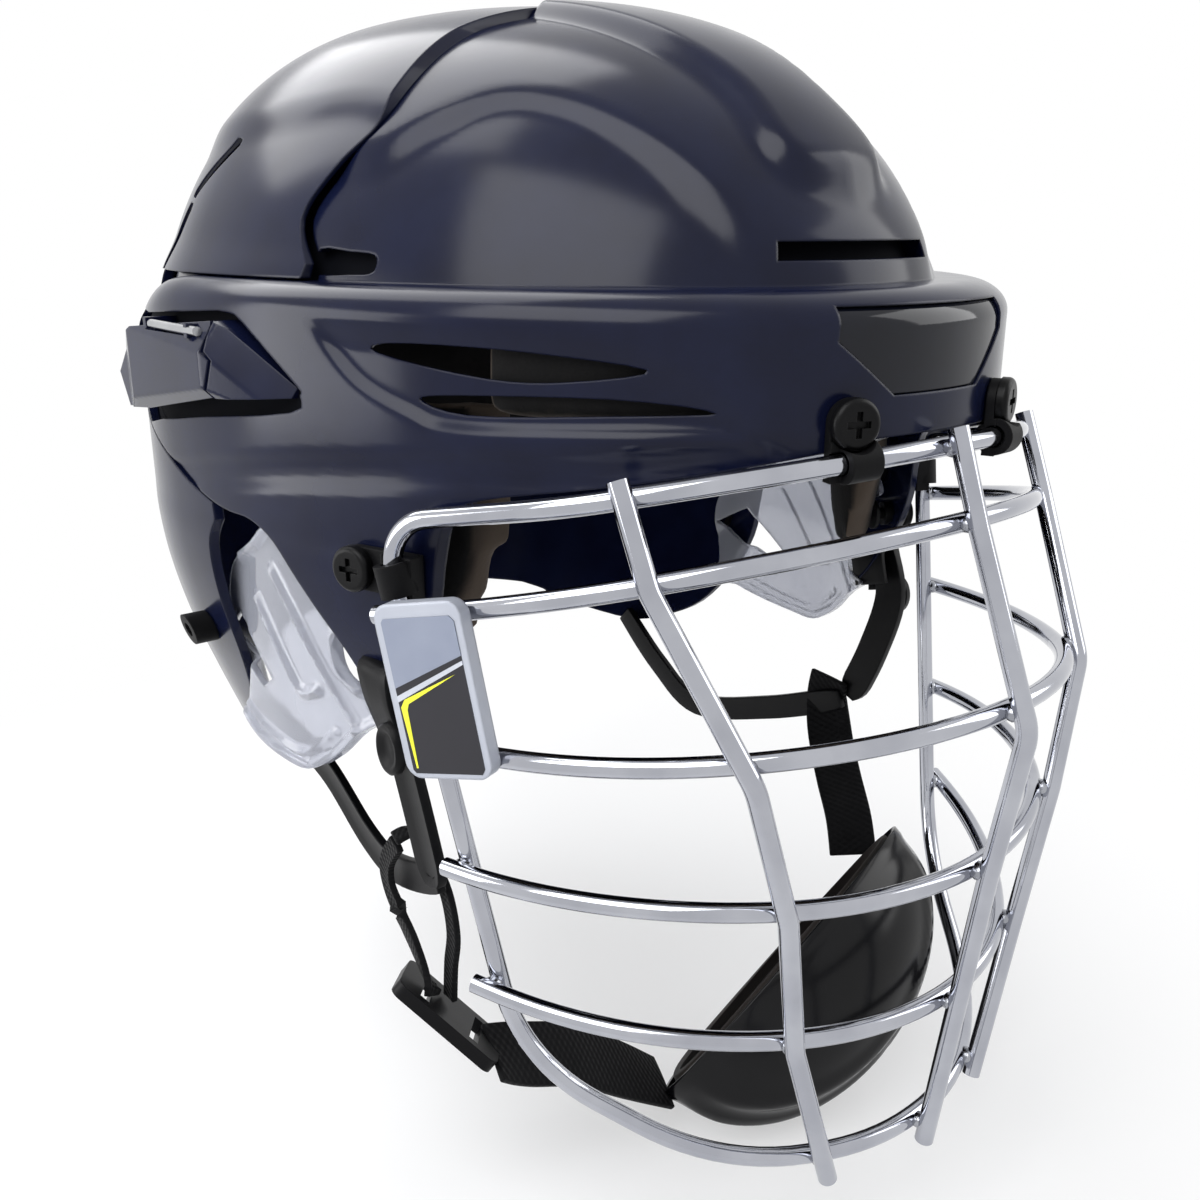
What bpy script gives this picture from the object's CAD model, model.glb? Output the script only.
import logging
import math
from collections.abc import Callable, Sequence
from dataclasses import dataclass, field
from enum import Enum

import bmesh
import bpy
import numpy as np
from mathutils import Matrix, Vector


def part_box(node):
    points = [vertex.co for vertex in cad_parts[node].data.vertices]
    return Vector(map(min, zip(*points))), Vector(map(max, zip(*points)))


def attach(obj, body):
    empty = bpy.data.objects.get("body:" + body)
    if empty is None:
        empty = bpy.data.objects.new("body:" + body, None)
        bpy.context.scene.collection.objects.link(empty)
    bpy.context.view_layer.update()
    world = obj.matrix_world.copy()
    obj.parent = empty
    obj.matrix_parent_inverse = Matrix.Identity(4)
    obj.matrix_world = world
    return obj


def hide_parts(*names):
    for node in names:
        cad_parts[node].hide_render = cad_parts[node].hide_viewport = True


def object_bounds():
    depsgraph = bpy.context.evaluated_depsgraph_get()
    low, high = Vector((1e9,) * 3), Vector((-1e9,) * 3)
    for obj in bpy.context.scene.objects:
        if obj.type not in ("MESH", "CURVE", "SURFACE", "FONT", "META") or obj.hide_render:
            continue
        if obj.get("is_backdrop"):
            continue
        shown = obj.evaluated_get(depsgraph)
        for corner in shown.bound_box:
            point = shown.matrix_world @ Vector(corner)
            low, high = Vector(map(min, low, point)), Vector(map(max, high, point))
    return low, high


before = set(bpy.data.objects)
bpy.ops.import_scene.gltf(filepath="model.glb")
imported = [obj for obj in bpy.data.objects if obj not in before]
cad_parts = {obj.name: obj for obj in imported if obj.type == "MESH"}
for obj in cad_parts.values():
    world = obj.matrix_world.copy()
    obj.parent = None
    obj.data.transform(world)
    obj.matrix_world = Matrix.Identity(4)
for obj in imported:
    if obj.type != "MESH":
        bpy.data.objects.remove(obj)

# Lengths in this file are in millimetres, and MM turns them to Blender's metres.
MM = 0.001
# The helmet's driving sizes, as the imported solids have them.
BAND_HALF_WIDTH = 115.0
BAND_FRONT_LENGTH = 174.5
BAND_BACK_LENGTH = 117.0
BAND_TOP = 63.0
BAND_SHOULDER = 8.0
DOME_HALF_WIDTH = 110.8
DOME_FRONT_LENGTH = 166.2
DOME_BACK_LENGTH = 113.2
DOME_HEIGHT = 133.8
DOME_FULLNESS = 2.48
SHELL_DEPTH = 92.0
SHELL_WALL = 3.0
NAPE_LEAN = 6.0
# How far cutting tools run past the helmet.
OVERRUN = 240.0
# Edges of a moulding that turn by more degrees than this stay sharp for the finish to round.
SHARP_ANGLE = 38

log = logging.getLogger("lacrosse_helmet")
Point = tuple[float, float]
Place = tuple[float, float, float]
Face = Callable[[np.ndarray], np.ndarray]
Tree = bpy.types.NodeTree
Socket = bpy.types.NodeSocket


class Side(Enum):
    """The wearer's right and left side, as the sign of X."""

    RIGHT = -1
    LEFT = 1

    @property
    def word(self) -> str:
        """The side's word in the names of nodes."""
        return self.name.lower()


# Nodes and finishes


def linear(code: str) -> tuple[float, float, float, float]:
    """Turns an sRGB hex value to a linear colour.

    Args:
        code: Six hex digits after a hash.

    Returns:
        Red, green, blue and an alpha of 1.
    """
    parts = [int(code[k : k + 2], 16) / 255 for k in (1, 3, 5)]
    return (*[p / 12.92 if p <= 0.04045 else ((p + 0.055) / 1.055) ** 2.4 for p in parts], 1.0)


def add_node(tree: Tree, kind: str, sockets: dict | None = None, **settings) -> bpy.types.Node:
    """Adds a node with its settings, its values and its links.

    Args:
        tree: The node tree that takes it.
        kind: The node's type name, after the part that all shader nodes share.
        sockets: Input values, or the output sockets that feed them, by name or number.
        settings: The node's own properties.

    Returns:
        The new node.
    """
    node = tree.nodes.new(f"ShaderNode{kind}")
    for name, value in settings.items():
        setattr(node, name, value)
    for name, value in (sockets or {}).items():
        if isinstance(value, Socket):
            tree.links.new(value, node.inputs[name])
        else:
            node.inputs[name].default_value = value
    return node


@dataclass(frozen=True)
class Finish:
    """A finish of one material; the values start from what the real one measures.

    The base colour wanders between two near tones in patches, the roughness varies a little, and a grain
    gives the bump. Patch, grain, its depth and the rounding of edges are in millimetres.
    """

    name: str
    tone: str
    second_tone: str
    roughness: float
    metallic: float = 0.0
    ior: float = 1.5
    roughness_spread: float = 0.03
    grain: float = 0.6
    grain_depth: float = 0.01
    patch: float = 18.0
    patch_edges: Point = (0.35, 0.65)
    cloud_share: float = 0.4
    sheen: float = 0.0
    transmission: float = 0.0
    edge_radius: float = 0.0

    def base(self, tree: Tree, where: Socket) -> Socket:
        """Mixes the two tones in soft patches and returns the colour's socket."""
        patches = add_node(tree, "TexNoise", {"Vector": where, "Scale": 1 / (self.patch * MM), "Detail": 3.0})
        ramp = add_node(tree, "ValToRGB", {"Fac": patches.outputs["Fac"]})
        for stop, at, tone in zip(ramp.color_ramp.elements, self.patch_edges, (self.tone, self.second_tone)):
            stop.position, stop.color = at, linear(tone)
        return ramp.outputs["Color"]

    def relief(self, tree: Tree, where: Socket) -> Socket:
        """Returns the height of the surface's grain, from 0 to 1."""
        sockets = {"Vector": where, "Scale": 1 / (self.grain * MM), "Detail": 2.0}
        return add_node(tree, "TexNoise", sockets).outputs["Fac"]

    def coordinates(self, tree: Tree) -> Socket:
        """Returns the coordinates that the patterns read."""
        return add_node(tree, "TexCoord").outputs["Object"]

    def make(self) -> bpy.types.Material:
        """Builds the material once and returns it."""
        made = bpy.data.materials.get(self.name)
        if made:
            return made
        material = bpy.data.materials.new(self.name)
        material.use_nodes = True
        tree = material.node_tree
        tree.nodes.clear()
        where = self.coordinates(tree)
        relief = {"Height": self.relief(tree, where), "Strength": 1.0, "Distance": self.grain_depth * MM}
        if self.edge_radius:
            edge = add_node(tree, "Bevel", {"Radius": self.edge_radius * MM}, samples=6)
            relief["Normal"] = edge.outputs["Normal"]
        low, high = self.roughness - self.roughness_spread, self.roughness + self.roughness_spread
        cloud = add_node(tree, "TexNoise", {"Vector": where, "Scale": 1 / (self.patch * self.cloud_share * MM)})
        rough = add_node(tree, "MapRange", {"Value": cloud.outputs["Fac"], "To Min": low, "To Max": high})
        body = add_node(tree, "BsdfPrincipled", {
            "Base Color": self.base(tree, where), "Roughness": rough.outputs["Result"],
            "Normal": add_node(tree, "Bump", relief).outputs["Normal"], "Metallic": self.metallic,
            "IOR": self.ior, "Sheen Weight": self.sheen, "Transmission Weight": self.transmission})
        add_node(tree, "OutputMaterial", {"Surface": body.outputs["BSDF"]})
        return material


@dataclass(frozen=True)
class WovenFinish(Finish):
    """Woven webbing: warp and weft follow the strap's own UV map, which is in metres."""

    thread: float = 1.1
    weft_share: float = 0.62

    def coordinates(self, tree: Tree) -> Socket:
        """Returns the strap's own UV map."""
        return add_node(tree, "UVMap", uv_map="weave").outputs["UV"]

    def relief(self, tree: Tree, where: Socket) -> Socket:
        """Returns the height of crossing threads."""
        split = add_node(tree, "SeparateXYZ", {"Vector": where})
        turn = 2 * math.pi / (self.thread * MM)
        waves = []
        for axis, stretch in (("X", 1.0), ("Y", self.weft_share)):
            angle = add_node(tree, "Math", {0: split.outputs[axis], 1: turn * stretch}, operation="MULTIPLY")
            waves.append(add_node(tree, "Math", {0: angle.outputs[0]}, operation="SINE").outputs[0])
        both = add_node(tree, "Math", {0: waves[0], 1: waves[1]}, operation="MULTIPLY")
        return add_node(tree, "MapRange", {"Value": both.outputs[0], "From Min": -1.0}).outputs["Result"]


@dataclass(frozen=True)
class FoamFinish(Finish):
    """Foam with a dark laminated face; its cut edge shows the foam's own colour through an attribute."""

    edge_tone: str = "#4b423a"

    def base(self, tree: Tree, where: Socket) -> Socket:
        """Mixes the face's tones with the foam's colour along the cut edge."""
        share = add_node(tree, "Attribute", attribute_name="cut_edge").outputs["Fac"]
        sockets = {0: share, 6: Finish.base(self, tree, where), 7: linear(self.edge_tone)}
        return add_node(tree, "Mix", sockets, data_type="RGBA").outputs[2]


# Gloss navy polycarbonate, injection moulded: deep blue-black with hard reflections.
SHELL = Finish("gloss_navy_polycarbonate", "#0b0f25", "#0f142c", 0.18, ior=1.3, grain=2.2, grain_depth=0.006,
               edge_radius=0.9)
# The same moulding's unpolished inner side, which stays in shadow.
INNER = Finish("bare_inner_polycarbonate", "#05060b", "#07080e", 0.85, ior=1.15, grain=1.5)
# The same polycarbonate with a tighter edge for the small adjuster parts.
LATCH = Finish("gloss_navy_adjuster", "#0c1027", "#11162f", 0.17, ior=1.32, grain=1.2, grain_depth=0.008,
               edge_radius=0.5)
# Chrome-plated steel wire: bright, slightly soft in its reflections.
CHROME = Finish("chrome_plated_wire", "#b4b6bd", "#a6a8b0", 0.09, 1.0, grain=3.0)
# Weld bead under the same plating, duller and rippled.
WELD = Finish("plated_weld_bead", "#a4a6ac", "#8e9097", 0.2, 1.0, grain=0.8, grain_depth=0.08,
              roughness_spread=0.06)
# Black-oxide steel screws: dark, satin.
BLACK_STEEL = Finish("black_oxide_steel", "#101011", "#0b0b0c", 0.36, 0.5, ior=1.3, grain=0.5, grain_depth=0.02,
                     edge_radius=0.3)
# Bright stainless pin.
STEEL = Finish("stainless_pin", "#b9babd", "#a7a8ab", 0.22, 1.0, grain=0.5)
# Nylon clip, fine spark-eroded texture: flat black with a broad highlight.
NYLON = Finish("textured_black_nylon", "#0a0a0b", "#0e0e10", 0.5, ior=1.2, grain=0.55, grain_depth=0.03,
               edge_radius=0.5)
# Flexible polyurethane strap arms: black, satin.
STRAP_PLASTIC = Finish("satin_black_polyurethane", "#09090b", "#0d0d0f", 0.4, ior=1.22, grain=0.7,
                       grain_depth=0.02, edge_radius=0.5)
# Clear polycarbonate ear guard.
CLEAR = Finish("clear_polycarbonate", "#c9ccd6", "#c1c4cf", 0.07, roughness_spread=0.02, transmission=0.66,
               grain=6.0, grain_depth=0.02, edge_radius=0.8)
# Closed-cell foam with a black brushed face and grey-brown cut edges.
FOAM = FoamFinish("laminated_foam", "#0b0b0c", "#111010", 0.82, ior=1.2, sheen=0.05, grain=0.9, grain_depth=0.12)
# The cup's own foam, dark brown and bare.
CUP_FOAM = FoamFinish("chin_foam", "#2b2624", "#211d1c", 0.86, ior=1.3, sheen=0.08, grain=0.8, grain_depth=0.12,
                      edge_tone="#2f2a27")
# Gloss black polyethylene chin cup.
CUP = Finish("gloss_black_polyethylene", "#060608", "#0a0a0d", 0.2, ior=1.3, grain=1.5)
# Polyester webbing and braided tape in black, their threads drawn a little coarse so that they show.
WEBBING = WovenFinish("black_polyester_webbing", "#08080a", "#0d0d0f", 0.72, ior=1.2, sheen=0.05, patch=6.0,
                      grain_depth=0.28, thread=2.2)
CORD = WovenFinish("black_braided_tape", "#08080a", "#0d0d0f", 0.7, ior=1.2, sheen=0.05, patch=5.0,
                   grain_depth=0.25, thread=1.7)
# Satin silver frame of the size tag.
TAG_FRAME = Finish("satin_silver_abs", "#a9adb8", "#b1b5bf", 0.32, 0.2, grain=0.5, edge_radius=1.0)
# The flat printed fields of the tag's panel.
TAG_BLACK, TAG_GREY, TAG_SILVER, TAG_YELLOW = (
    Finish(f"printed_{name}", tone, second, roughness, grain=0.4, grain_depth=0.004)
    for name, tone, second, roughness in (
        ("black", "#16151d", "#1a1922", 0.3), ("blue_grey", "#7d8496", "#858c9d", 0.32),
        ("silver", "#b4b8c2", "#bdc1ca", 0.3), ("yellow", "#e4e62a", "#dcdf2e", 0.35)))
# Smoked gloss plate in the brow's recess.
BADGE = Finish("smoked_plate", "#090b14", "#0d101b", 0.08, ior=1.36, grain=3.0, grain_depth=0.004,
               edge_radius=0.4)


# Meshes


def rounded(points: Sequence[Point], steps: int = 5, closed: bool = False) -> list[Point]:
    """Runs a smooth curve through flat points.

    Args:
        points: The points that it passes.
        steps: How many runs there are between two points.
        closed: Whether the curve closes on itself.

    Returns:
        The points along the curve.
    """
    count = len(points)
    made = []
    for k in range(count if closed else count - 1):
        places = [(k + j) % count if closed else min(max(k + j, 0), count - 1) for j in (-1, 0, 1, 2)]
        near = [points[place] for place in places]
        for step in range(steps):
            t = step / steps
            weights = (-t + 2 * t * t - t**3, 2 - 5 * t * t + 3 * t**3, t + 4 * t * t - 3 * t**3, t**3 - t * t)
            made.append(tuple(sum(w * p[axis] for w, p in zip(weights, near)) / 2 for axis in (0, 1)))
    return made if closed else made + [tuple(points[-1])]


def inside_depth(flat: np.ndarray, outline: Sequence[Point]) -> np.ndarray:
    """Measures how far flat points lie inside an outline.

    Args:
        flat: The points, one a row.
        outline: The outline's corners.

    Returns:
        The distance to the outline, negative outside.
    """
    start = np.array(outline, float)
    run = np.roll(start, -1, axis=0) - start
    away = flat[:, None, :] - start[None]
    along = np.clip((away * run).sum(2) / np.maximum((run * run).sum(1), 1e-9), 0, 1)
    nearest = np.sqrt(((away - along[..., None] * run) ** 2).sum(2)).min(1)
    end = start + run
    level = (start[:, 1] > flat[:, 1:2]) != (end[:, 1] > flat[:, 1:2])
    rise = np.where(np.abs(run[:, 1]) < 1e-9, 1e-9, run[:, 1])
    crossed = flat[:, 0:1] < start[:, 0] + (flat[:, 1:2] - start[:, 1]) * run[:, 0] / rise
    inside = ((level & crossed).sum(1) % 2) == 1
    return np.where(inside, nearest, -nearest)


def eased(value: np.ndarray, low: float, high: float) -> np.ndarray:
    """Eases from 0 at low to 1 at high."""
    share = np.clip((value - low) / (high - low), 0, 1)
    return share * share * (3 - 2 * share)


def new_object(name: str, bm: bmesh.types.BMesh, smooth: bool = True) -> bpy.types.Object:
    """Turns a bmesh in millimetres to an object in metres at the origin.

    Args:
        name: The object's name.
        bm: The mesh, which is freed.
        smooth: Whether its faces are shaded smooth.

    Returns:
        The linked object.
    """
    bmesh.ops.scale(bm, vec=(MM, MM, MM), verts=bm.verts)
    mesh = bpy.data.meshes.new(name)
    bm.to_mesh(mesh)
    bm.free()
    mesh.shade_smooth() if smooth else mesh.shade_flat()
    made = bpy.data.objects.new(name, mesh)
    bpy.context.scene.collection.objects.link(made)
    return made


def settle(made: bpy.types.Object) -> bpy.types.Object:
    """Applies an object's modifiers to its mesh."""
    evaluated = made.evaluated_get(bpy.context.evaluated_depsgraph_get())
    mesh = bpy.data.meshes.new_from_object(evaluated)
    old = made.data
    made.modifiers.clear()
    made.data = mesh
    bpy.data.meshes.remove(old)
    return made


def combine(target: bpy.types.Object, tool: bpy.types.Object, operation: str) -> bpy.types.Object:
    """Joins or cuts one closed mesh with another and removes the tool.

    Args:
        target: The mesh that stays.
        tool: The mesh that is used up.
        operation: UNION, DIFFERENCE or INTERSECT.

    Returns:
        The target.
    """
    step = target.modifiers.new("form", "BOOLEAN")
    step.solver, step.operation, step.object = "MANIFOLD", operation, tool
    settle(target)
    bpy.data.objects.remove(tool)
    return target


def soften(made: bpy.types.Object, name: str) -> bpy.types.Object:
    """Cleans a cut mesh and marks its sharp edges, which the finish then rounds.

    Args:
        made: The cut mesh, which is used up.
        name: The new object's name.

    Returns:
        The new object.
    """
    bm = bmesh.new()
    bm.from_mesh(made.data)
    bmesh.ops.remove_doubles(bm, verts=bm.verts, dist=0.03 * MM)
    bmesh.ops.dissolve_degenerate(bm, edges=bm.edges, dist=0.01 * MM)
    bmesh.ops.scale(bm, vec=(1 / MM,) * 3, verts=bm.verts)
    bpy.data.objects.remove(made)
    made = new_object(name, bm)
    made.data.set_sharp_from_angle(angle=math.radians(SHARP_ANGLE))
    return made


def line_reach(flat: np.ndarray, line: Sequence[Point], steps: int = 8) -> np.ndarray:
    """Returns each flat point's distance from a smooth line."""
    curve = np.array(rounded(line, steps))
    reach = np.full(len(flat), np.inf)
    for start, step in zip(curve[:-1], np.diff(curve, axis=0)):
        share = np.clip((flat - start) @ step / max(step @ step, 1e-9), 0, 1)
        reach = np.minimum(reach, np.hypot(*(flat - start - share[:, None] * step).T))
    return reach


def face_outwards(bm: bmesh.types.BMesh) -> None:
    """Turns the faces of a closed mesh outwards."""
    bmesh.ops.recalc_face_normals(bm, faces=bm.faces)
    if bm.calc_volume(signed=True) < 0:
        bmesh.ops.reverse_faces(bm, faces=bm.faces)


def thicken(bm: bmesh.types.BMesh, run: Vector) -> list[bmesh.types.BMFace]:
    """Extrudes a flat mesh along a run to a closed solid.

    Args:
        bm: The mesh.
        run: Where its copy goes.

    Returns:
        The copy's faces.
    """
    grown = bmesh.ops.extrude_face_region(bm, geom=bm.faces[:])
    moved = [item for item in grown["geom"] if isinstance(item, bmesh.types.BMFace)]
    bmesh.ops.translate(bm, vec=run, verts=list({vert for face in moved for vert in face.verts}))
    face_outwards(bm)
    return moved


def slab(
    name: str, side: Side, corner: Point, far: Point, pitch: float, outer: Face, inner: Face,
) -> bpy.types.Object:
    """Closes the room between two faces that stand over a rectangle of the side view.

    Args:
        name: The object's name.
        side: The side that it lies on.
        corner: The rectangle's lowest (y, z).
        far: Its highest.
        pitch: The faces' size.
        outer: Gives the outer face's distance from the middle plane for (y, z) rows.
        inner: The same for the inner face.

    Returns:
        The slab, in metres.
    """
    columns, rows = (math.ceil((high - low) / pitch) for low, high in zip(corner, far))
    bm = bmesh.new()
    bmesh.ops.create_grid(bm, x_segments=columns, y_segments=rows, size=1)
    thicken(bm, Vector((0, 0, 1)))
    co = np.array([vert.co for vert in bm.verts])
    flat = np.array(corner) + pitch * np.round((co[:, :2] + 1) / 2 * (columns, rows))
    reach = np.where(co[:, 2] > 0.5, inner(flat), outer(flat))
    for vert, distance, (y, z) in zip(bm.verts, side.value * reach, flat):
        vert.co = (distance, y, z)
    face_outwards(bm)
    return new_object(name, bm)


def modifier(made: bpy.types.Object, kind: str, **settings) -> bpy.types.Modifier:
    """Adds a modifier with its settings."""
    step = made.modifiers.new(kind.lower(), kind)
    for name, value in settings.items():
        setattr(step, name, value)
    return step


def roll_edges(
    made: bpy.types.Object, width: float, segments: int, angle: float = 50, **settings,
) -> bpy.types.Object:
    """Rounds an object's edges that are sharper than an angle and applies its modifiers."""
    modifier(made, "BEVEL", width=width * MM, segments=segments, limit_method="ANGLE",
             angle_limit=math.radians(angle), **settings)
    return settle(made)


def prism(outline: Sequence[Point], low: float, high: float, axis: str = "X") -> bpy.types.Object:
    """Makes a closed prism from an outline.

    Args:
        outline: Corners: (y, z) along X, or (x, z) along Y.
        low: Where it starts.
        high: Where it ends.
        axis: The axis that it runs along.

    Returns:
        The prism, in metres.
    """
    bm = bmesh.new()
    corners = [(low, *point) if axis == "X" else (point[0], low, point[1]) for point in outline]
    bm.faces.new([bm.verts.new(corner) for corner in corners])
    thicken(bm, Vector([(high - low) if letter == axis else 0 for letter in "XYZ"]))
    return new_object("prism", bm, smooth=False)


def through(side: Side, outline: Sequence[Point], start: float) -> bpy.types.Object:
    """Makes a prism that runs outwards from a distance on one side, as a tool for cutting."""
    return prism(outline, side.value * start, side.value * OVERRUN)


def cad_copy(node: str, name: str, merge: float = 0.01) -> bpy.types.Object:
    """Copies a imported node's mesh to a new object and merges its loose triangles.

    Args:
        node: The node's name.
        name: The new object's name.
        merge: The merging distance in millimetres.

    Returns:
        The new object.
    """
    bm = bmesh.new()
    bm.from_mesh(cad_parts[node].data)
    bmesh.ops.remove_doubles(bm, verts=bm.verts, dist=merge * MM)
    bmesh.ops.scale(bm, vec=(1 / MM,) * 3, verts=bm.verts)
    return new_object(name, bm)


def finish_piece(made: bpy.types.Object, look: Finish, body: str, slot: str, *nodes: str) -> bpy.types.Object:
    """Gives a piece its material, its body, its slot and the nodes that it stands for.

    Args:
        made: The piece.
        look: Its finish.
        body: The body that it rides on.
        slot: The record's material slot.
        nodes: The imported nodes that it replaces.

    Returns:
        The piece.
    """
    made.data.materials.clear()
    made.data.materials.append(look.make())
    made.data.polygons.foreach_set("material_index", np.zeros(len(made.data.polygons), dtype=np.int32))
    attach(made, body)
    if nodes:
        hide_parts(*nodes)
    log.info("piece %s rides on %s", made.name, body)
    return made


def dress(look: Finish, *nodes: str) -> None:
    """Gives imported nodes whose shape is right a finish."""
    for node in nodes:
        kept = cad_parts[node]
        kept.data.materials.clear()
        kept.data.materials.append(look.make())
        log.info("node %s keeps its solid", node)


# Head forms


@dataclass(frozen=True)
class HeadForm:
    """A closed form of the helmet: a profile turned round Z and stretched to its front and back lengths.

    The profile runs by shares from the top pole to the bottom pole: over the flat top and its shoulder,
    or over the dome, to the widest line, then down the wall, and in under it.
    """

    half_width: float
    front_length: float
    back_length: float
    height: float
    shoulder: float = 0.0
    flat_end: float = 0.12
    shoulder_end: float = 0.22
    widest: float = 0.5
    foot: float = 0.92
    taper: tuple[Point, ...] = (
        (1.0, 0.0), (1.0, 0.1), (0.985, 0.26), (0.948, 0.457), (0.893, 0.66), (0.83, 0.87), (0.79, 1.0))

    def wall(self, drop: np.ndarray) -> np.ndarray:
        """Returns the width share at a drop share below the widest line."""
        curve = rounded([(share, width) for width, share in self.taper], 8)
        return np.interp(drop, [p[0] for p in curve], [p[1] for p in curve])

    def profile(self, share: np.ndarray, outset: np.ndarray) -> tuple[np.ndarray, np.ndarray]:
        """Returns radius and height at a share of the way from the top pole to the bottom pole."""
        def part(start: float, end: float) -> np.ndarray:
            """Returns how far the share is from a start to an end, from 0 to 1."""
            return np.clip((share - start) / (end - start), 0, 1)

        radius, height = self.half_width + outset, self.height + outset
        if self.shoulder:
            turn = part(self.flat_end, self.shoulder_end) * math.pi / 2
            r = (radius - self.shoulder) * part(0, self.flat_end) + self.shoulder * np.sin(turn)
            z = (height - self.shoulder * (1 - np.cos(turn))) * (1 - part(self.shoulder_end, self.widest))
        else:
            angle = part(0, self.widest) * math.pi / 2
            power = 2 / DOME_FULLNESS
            r, z = radius * np.sin(angle) ** power, height * np.maximum(np.cos(angle), 0) ** power
        drop = part(self.widest, self.foot)
        r = np.where(share > self.widest, radius * self.wall(drop), r)
        z = np.where(share > self.widest, -SHELL_DEPTH * drop, z)
        return r * (1 - part(self.foot, 1)), z

    def place(self, share: np.ndarray, turn: np.ndarray, outset: np.ndarray) -> np.ndarray:
        """Returns points at shares down the profile and turns round Z."""
        r, z = self.profile(share, outset)
        length = np.where(np.sin(turn) < 0, self.front_length, self.back_length) + outset
        return np.stack([r * np.cos(turn), r * np.sin(turn) * length / (self.half_width + outset), z], axis=1)

    def solid(self, outset: float, around: int, down: int, relief: Face | None = None) -> bpy.types.Object:
        """Makes the closed form as a mesh.

        Args:
            outset: How far it stands outside its driving sizes.
            around: Faces round it.
            down: Faces from pole to pole.
            relief: Gives a further outset from the points' places.

        Returns:
            The object, in metres.
        """
        bm = bmesh.new()
        bmesh.ops.create_uvsphere(bm, u_segments=around, v_segments=down, radius=1.0)
        co = np.array([vert.co for vert in bm.verts])
        share = np.arccos(np.clip(co[:, 2], -1, 1)) / math.pi
        turn = np.arctan2(co[:, 1], co[:, 0])
        lift = np.full(len(co), float(outset))
        places = self.place(share, turn, lift)
        if relief:
            places = self.place(share, turn, lift + relief(places))
        for vert, at in zip(bm.verts, places):
            vert.co = at
        face_outwards(bm)
        return new_object("form", bm)

    def skin(
        self, outset: float, wall: float, around: int, down: int, relief: Face | None = None,
    ) -> bpy.types.Object:
        """Makes a closed skin inside an outset, a wall thick, as a mesh."""
        outer = self.solid(outset, around, down, relief)
        return combine(outer, self.solid(outset - wall, around, down, relief), "DIFFERENCE")


CROWN = HeadForm(DOME_HALF_WIDTH, DOME_FRONT_LENGTH, DOME_BACK_LENGTH, DOME_HEIGHT)
BAND = HeadForm(BAND_HALF_WIDTH, BAND_FRONT_LENGTH, BAND_BACK_LENGTH, BAND_TOP, BAND_SHOULDER)


def nape_taper(places: np.ndarray) -> np.ndarray:
    """Returns how far the band leans in towards its top behind the ears."""
    return -NAPE_LEAN * eased(places[:, 1], -10, 60) * eased(places[:, 2], 45, 62)


def side_shares(shares: Sequence[Point]) -> list[Point]:
    """Turns side-view shares to (y, z) in millimetres."""
    return [(y * BAND_FRONT_LENGTH, z * DOME_HEIGHT) for y, z in shares]


def spot(x: float, y: float, z: float) -> Vector:
    """Turns shares to a place in millimetres."""
    return Vector((x * BAND_HALF_WIDTH, y * BAND_FRONT_LENGTH, z * DOME_HEIGHT))


def box_outline(low: Point, high: Point) -> list[Point]:
    """Returns the corners of a rectangle."""
    return [low, (high[0], low[1]), high, (low[0], high[1])]


def block(low: Place, high: Place) -> bpy.types.Object:
    """Makes a closed block between two corners, as a tool for cutting."""
    return prism(box_outline(low[1:], high[1:]), *sorted((low[0], high[0])))


# The two shells


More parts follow.
